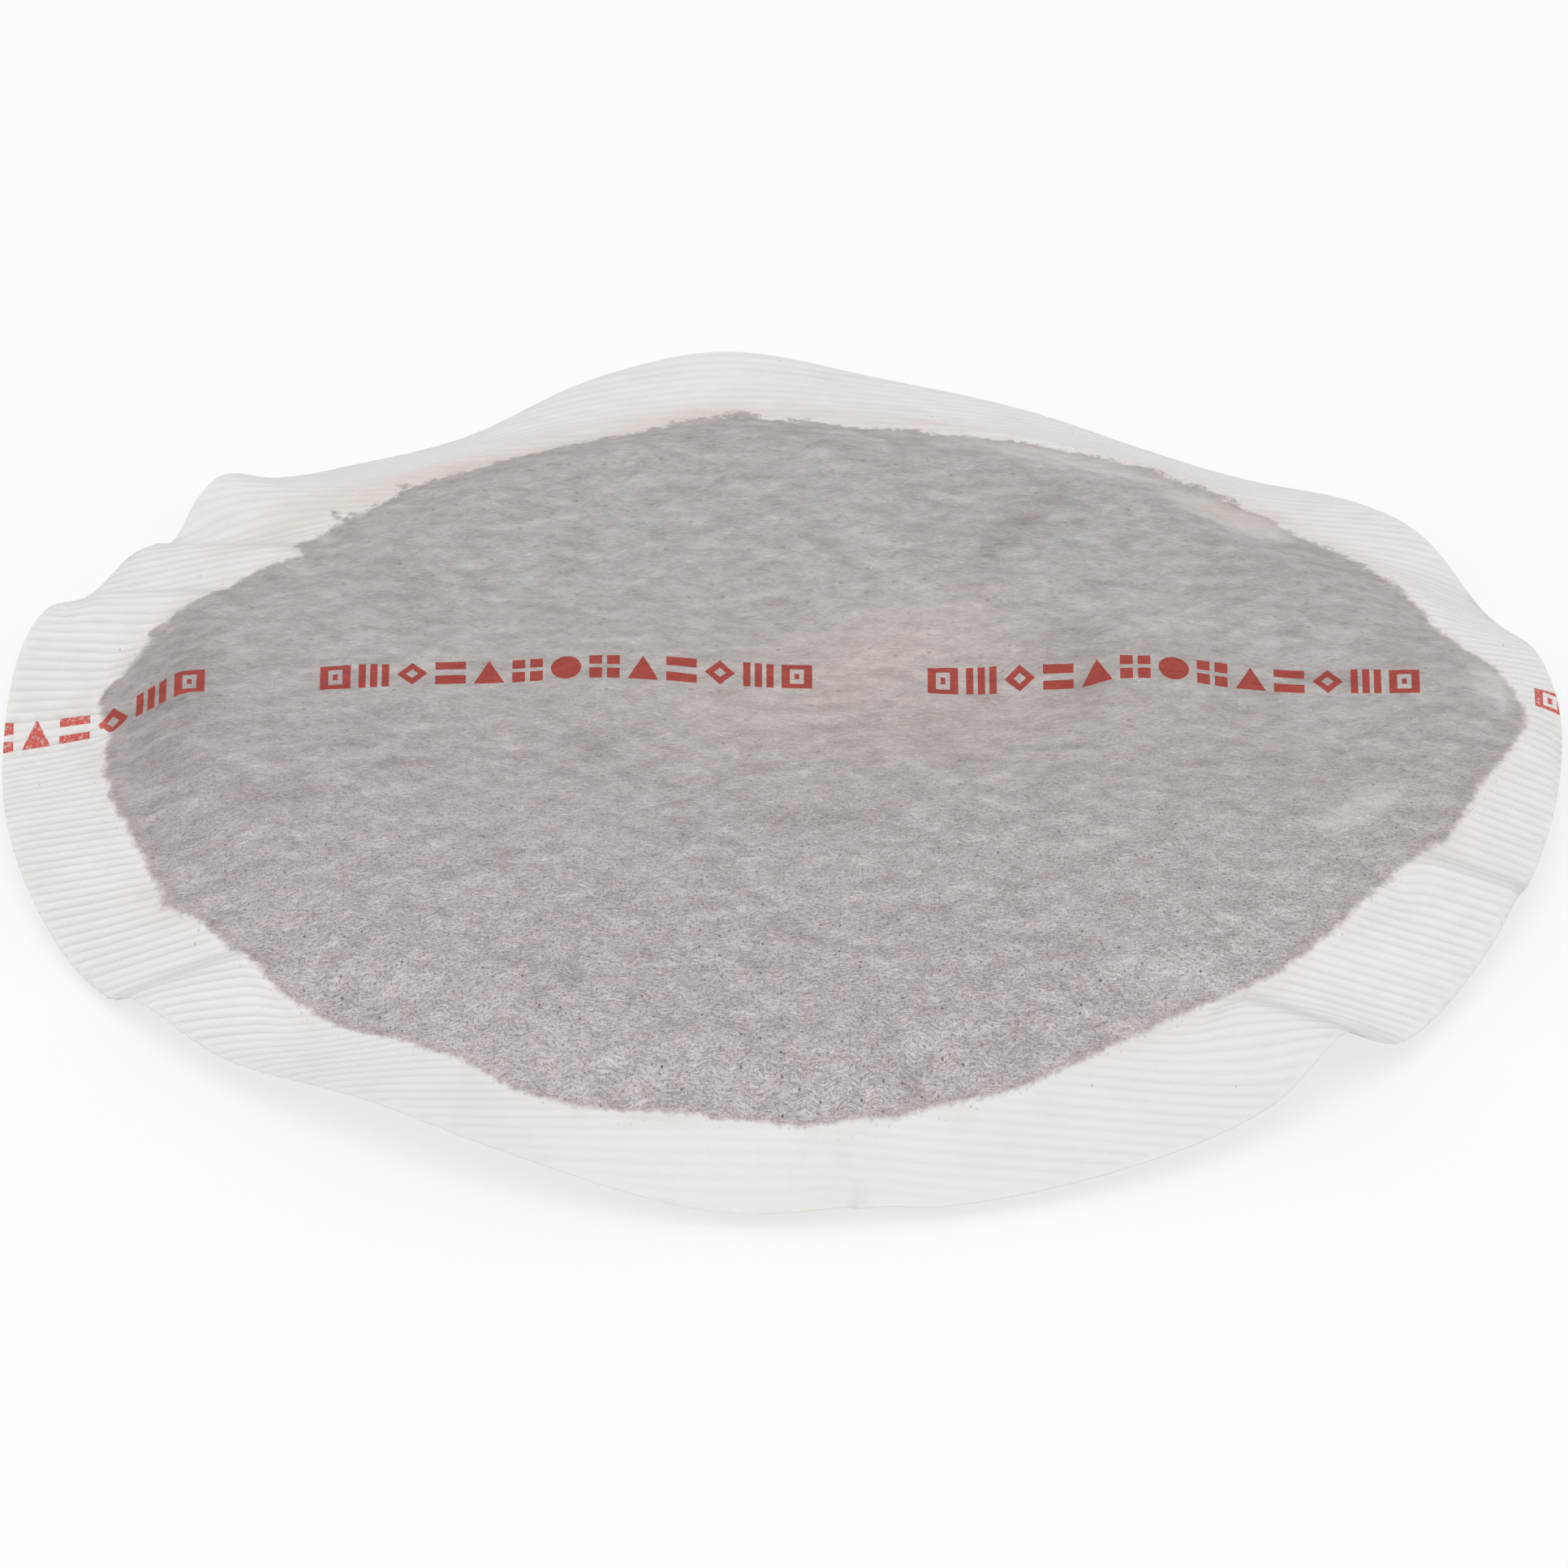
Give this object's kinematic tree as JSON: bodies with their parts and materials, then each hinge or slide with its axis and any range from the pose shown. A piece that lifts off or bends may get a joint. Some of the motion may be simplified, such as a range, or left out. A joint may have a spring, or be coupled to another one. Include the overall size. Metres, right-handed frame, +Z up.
{
  "type": "coffee filter pack",
  "caption": "Round sealed coffee filter pack: white filter paper crimped in a ribbed, fluttering flange around a flat pillow of ground coffee.",
  "frame": {"origin": "on the table, under the middle of the pack's outline", "axes": "+Z up, out of the upper sheet; +X along the crimp ribs, towards the side where the flange is narrowest; the picture looks along +Y and down"},
  "size_m": [0.1272, 0.1264, 0.0087],
  "materials": {
    "filter_paper": "matte, fibrous, crimped in fine ribs at the flange, grey-brown where the coffee shows through"
  },
  "bodies": {
    "root": {"filter_pack": "filter_paper"}
  },
  "joints": []
}
